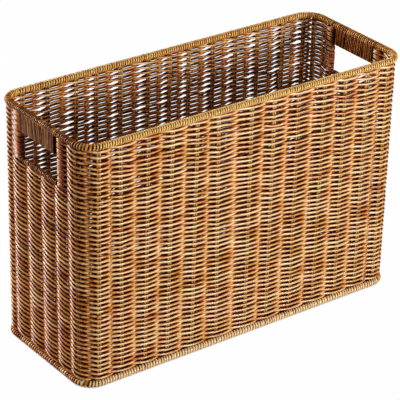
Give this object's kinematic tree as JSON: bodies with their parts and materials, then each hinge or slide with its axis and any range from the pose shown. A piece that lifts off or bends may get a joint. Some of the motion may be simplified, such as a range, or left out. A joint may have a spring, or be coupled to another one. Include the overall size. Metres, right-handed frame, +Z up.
{
  "type": "magazine basket",
  "caption": "Tall narrow open box woven from cane on paired stakes, with a wrapped rim and foot and a hand hole under a wound grip at each end.",
  "frame": {"origin": "on the floor under the middle of the basket", "axes": "+X along the long sides, +Y across, +Z up"},
  "size_m": [0.417, 0.162, 0.279],
  "materials": {
    "wraps": "split cane wound closely round the rim and foot, varnished, yellow-brown",
    "weave_long_sides": "round cane strands twined in rows, varnished, golden brown",
    "weave_ends": "round cane strands twined in rows, varnished, a little darker",
    "stakes": "round cane rods, varnished",
    "rods": "round rods hidden under the wrapping",
    "grips": "cane wound closely, varnished, red-brown"
  },
  "bodies": {
    "root": {"rim_rod": "rods", "rim_wrap_front": "wraps", "rim_wrap_back": "wraps", "rim_wrap_left": "wraps", "rim_wrap_right": "wraps", "rim_wrap_corner_front_left": "wraps", "rim_wrap_corner_front_right": "wraps", "rim_wrap_corner_back_left": "wraps", "rim_wrap_corner_back_right": "wraps", "foot_rod": "rods", "foot_wrap_front": "wraps", "foot_wrap_back": "wraps", "foot_wrap_left": "wraps", "foot_wrap_right": "wraps", "foot_wrap_corner_front_left": "wraps", "foot_wrap_corner_front_right": "wraps", "foot_wrap_corner_back_left": "wraps", "foot_wrap_corner_back_right": "wraps", "stake_cross_1": "stakes", "stake_cross_2": "stakes", "stake_cross_3": "stakes", "stake_cross_4": "stakes", "stake_cross_5": "stakes", "stake_cross_6": "stakes", "stake_cross_7": "stakes", "stake_cross_8": "stakes", "stake_cross_9": "stakes", "stake_cross_10": "stakes", "stake_cross_11": "stakes", "stake_cross_12": "stakes", "stake_cross_13": "stakes", "stake_long_1": "stakes", "stake_long_2": "stakes", "stake_long_3": "stakes", "stake_long_4": "stakes", "stake_long_5": "stakes", "stake_long_6": "stakes", "weave_front": "weave_long_sides", "weave_corner_front_left": "weave_long_sides", "weave_corner_front_right": "weave_long_sides", "weave_back": "weave_long_sides", "weave_corner_back_left": "weave_long_sides", "weave_corner_back_right": "weave_long_sides", "weave_left": "weave_ends", "weave_right": "weave_ends", "weave_base": "weave_ends", "grip_core_left": "rods", "grip_winding_left": "grips", "sill_bar_left": "rods", "sill_winding_left": "grips", "grip_core_right": "rods", "grip_winding_right": "grips", "sill_bar_right": "rods", "sill_winding_right": "grips"}
  },
  "joints": []
}
